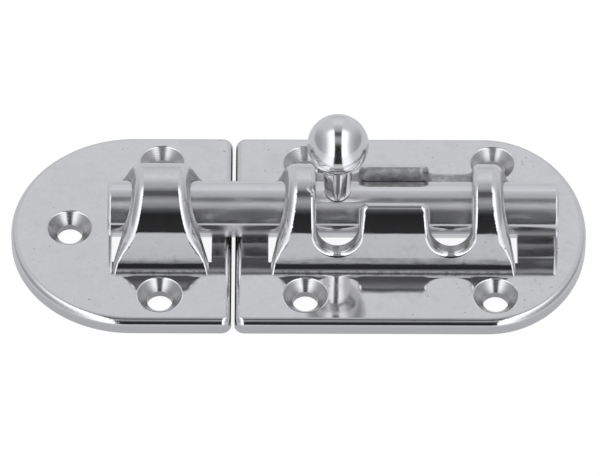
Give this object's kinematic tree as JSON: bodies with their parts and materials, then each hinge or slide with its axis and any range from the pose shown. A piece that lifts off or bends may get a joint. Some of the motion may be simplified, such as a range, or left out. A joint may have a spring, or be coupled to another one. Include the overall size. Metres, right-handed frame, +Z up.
{
  "type": "barrel bolt",
  "caption": "Surface-mounted stainless barrel bolt: round bolt with ball knob slides and turns in a slotted housing, and shoots into a matching keeper.",
  "frame": {"origin": "on the mounting surface, at the centre of the body casting's four screw holes", "axes": "+X along the bolt, the way it is drawn back; +Y across, away from the deep notches; +Z up from the mounting surface"},
  "size_m": [0.1021, 0.0442, 0.0305],
  "materials": {
    "polished_casting": "mirror-polished cast stainless steel",
    "satin_bar": "satin stainless bar",
    "polished_turning": "polished turned stainless steel"
  },
  "bodies": {
    "castings": {"body": "polished_casting", "keeper": "polished_casting"},
    "bolt": {"bolt_rod": "satin_bar"},
    "knob": {"knob": "polished_turning"}
  },
  "joints": [
    {"name": "bolt_slide", "type": "slide", "parent": "castings", "child": "bolt", "axis": [1, 0, 0], "range_m": [0, 0.02]},
    {"name": "knob_turn", "type": "hinge", "parent": "bolt", "child": "knob", "pos_m": [-0.01115, 0, 0.0081], "axis": [1, 0, 0], "range_deg": [-48, 86]}
  ]
}
